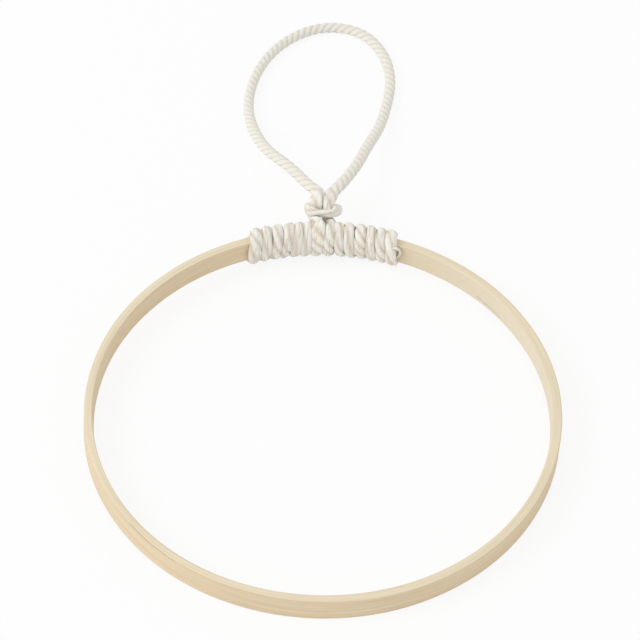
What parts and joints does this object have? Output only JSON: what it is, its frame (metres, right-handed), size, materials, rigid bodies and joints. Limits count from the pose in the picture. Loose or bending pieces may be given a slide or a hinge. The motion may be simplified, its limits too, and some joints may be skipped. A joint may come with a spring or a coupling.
{
  "type": "embroidery hoop",
  "caption": "Round bamboo craft ring with cotton cord bound round its far side and knotted into a limp hanging loop that swings on the knot.",
  "frame": {"origin": "the centre of the bamboo ring, at the middle of its height", "axes": "+Z along the ring's axis, up from the table it lies on; +Y towards the knot and the hanging loop; +X to the right as the picture sees it"},
  "size_m": [0.15, 0.2666, 0.0187],
  "materials": {
    "bamboo": "sanded bare bamboo, satin, with fine grain along the strip",
    "cotton_cord": "undyed three-strand twisted cotton, matt and slightly fuzzy"
  },
  "bodies": {
    "hoop": {"bamboo_ring": "bamboo", "left_binding": "cotton_cord", "right_binding": "cotton_cord", "knot_wrapping_strand": "cotton_cord", "knot_core_strand": "cotton_cord"},
    "loop": {"hanging_loop": "cotton_cord"}
  },
  "joints": [
    {"name": "loop_swing", "type": "hinge", "parent": "hoop", "child": "loop", "pos_m": [0, 0.0935, 0.0043], "axis": [1, 0, 0], "range_deg": [-90, 90]}
  ]
}
